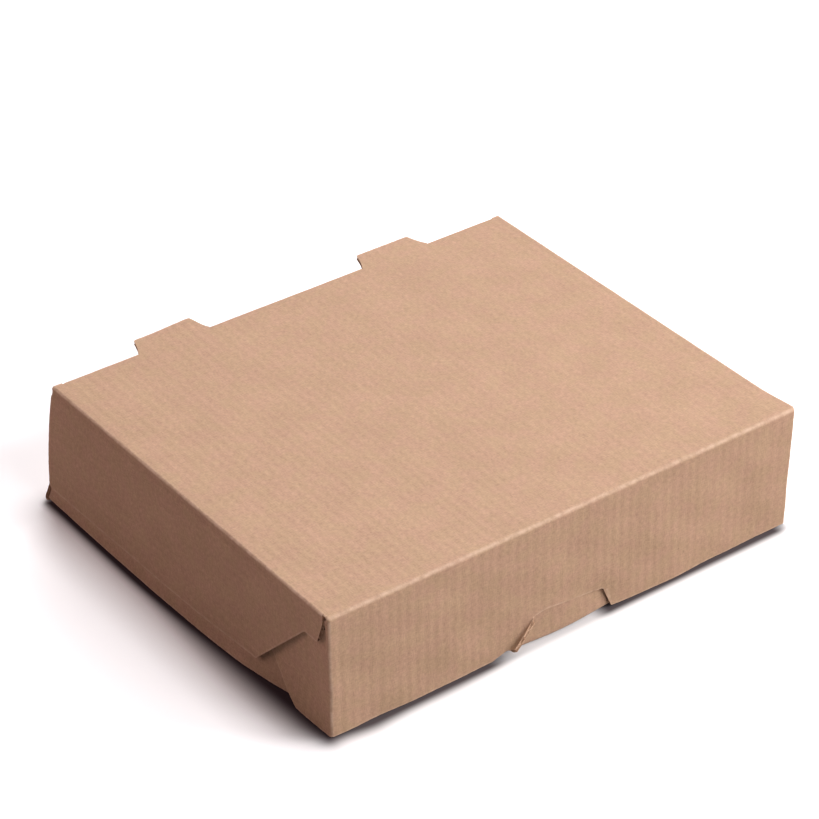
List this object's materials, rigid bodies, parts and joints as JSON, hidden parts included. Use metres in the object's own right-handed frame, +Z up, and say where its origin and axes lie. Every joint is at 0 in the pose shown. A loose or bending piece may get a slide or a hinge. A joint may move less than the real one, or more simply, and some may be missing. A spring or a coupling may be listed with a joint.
{
  "type": "empanada box",
  "caption": "Low kraft corrugated take-away box: a folded tray with a hinged lid whose front and side flaps close over the outside of the walls.",
  "frame": {"origin": "middle of the base's underside, without the two hinge tabs that stick out at the back", "axes": "+X to the right along the front, +Y from the front flap to the hinge, +Z up"},
  "size_m": [0.18, 0.1616, 0.0445],
  "materials": {
    "kraft_board": "matt unprinted kraft"
  },
  "bodies": {
    "tray": {"tray": "kraft_board"},
    "lid": {"lid": "kraft_board"},
    "front_flap": {"front_flap": "kraft_board"},
    "left_side_flap": {"left_side_flap": "kraft_board"},
    "right_side_flap": {"right_side_flap": "kraft_board"}
  },
  "joints": [
    {"name": "lid_hinge", "type": "hinge", "parent": "tray", "child": "lid", "pos_m": [0, 0.07556, 0.04406], "axis": [-1, 0, 0], "range_deg": [0, 180]},
    {"name": "front_flap_fold", "type": "hinge", "parent": "lid", "child": "front_flap", "pos_m": [0, -0.07556, 0.04406], "axis": [-1, 0, 0], "range_deg": [0, 90]},
    {"name": "left_flap_fold", "type": "hinge", "parent": "lid", "child": "left_side_flap", "pos_m": [-0.08956, 0, 0.04406], "axis": [0, 1, 0], "range_deg": [0, 90]},
    {"name": "right_flap_fold", "type": "hinge", "parent": "lid", "child": "right_side_flap", "pos_m": [0.08956, 0, 0.04406], "axis": [0, -1, 0], "range_deg": [0, 90]}
  ]
}
